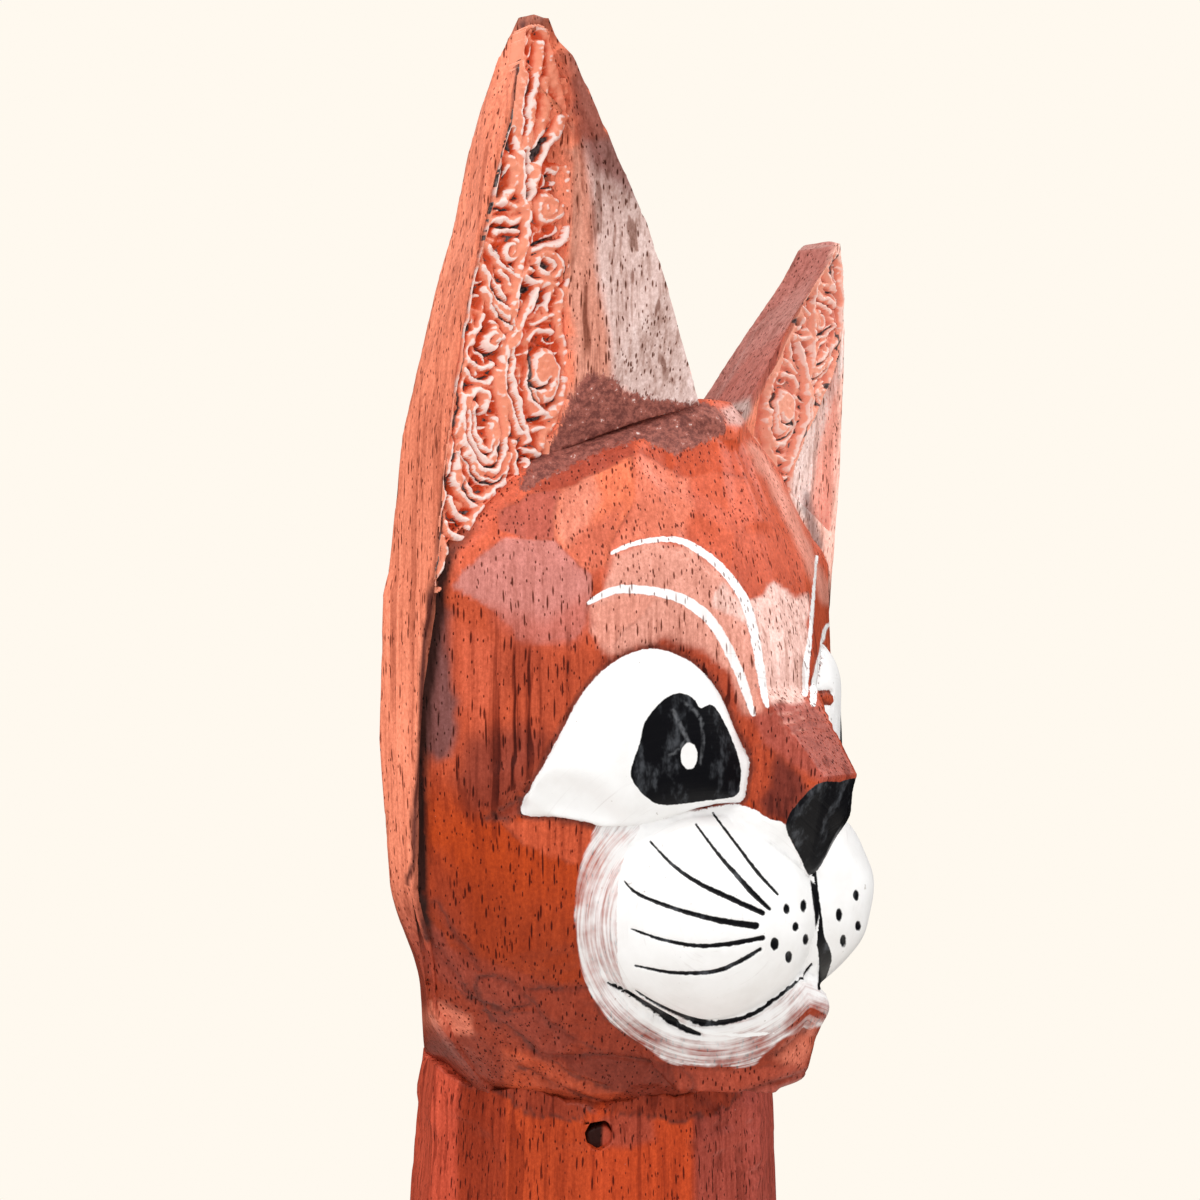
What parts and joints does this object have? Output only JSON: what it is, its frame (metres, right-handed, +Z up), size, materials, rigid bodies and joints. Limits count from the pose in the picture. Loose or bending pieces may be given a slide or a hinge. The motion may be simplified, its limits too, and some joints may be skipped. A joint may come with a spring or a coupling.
{
  "type": "wooden cat figurine",
  "caption": "Tall seated cat carved in stained reddish wood, with a painted face, cupped ears holding carved flower strips and a tail laid round the haunch.",
  "frame": {"origin": "on the table under the axis of the neck, on the flat foot of the body", "axes": "+Z up, the cat looks along -Y, its right side is -X"},
  "size_m": [0.1003, 0.1178, 0.3403],
  "materials": {
    "stained_wood": "stained reddish brown, waxed to a soft gloss",
    "face_wood": "stained and waxed, with hand-painted eyes, muzzle, nose and whiskers",
    "ear_wood": "stained, worn pale on the ears",
    "carved_wood": "carved flowers, dark in the cuts and rubbed pale on the crests",
    "dowel_wood": "plain birch dowel",
    "peg_wood": "dark end grain"
  },
  "bodies": {
    "root": {"body_block": "stained_wood", "face_block": "face_wood", "ear_board": "ear_wood", "right_ear_carving": "carved_wood", "left_ear_carving": "carved_wood", "neck_dowel": "dowel_wood", "neck_peg": "peg_wood", "right_face_dowel": "dowel_wood", "left_face_dowel": "dowel_wood", "tail": "stained_wood", "tail_dowel": "dowel_wood"}
  },
  "joints": []
}
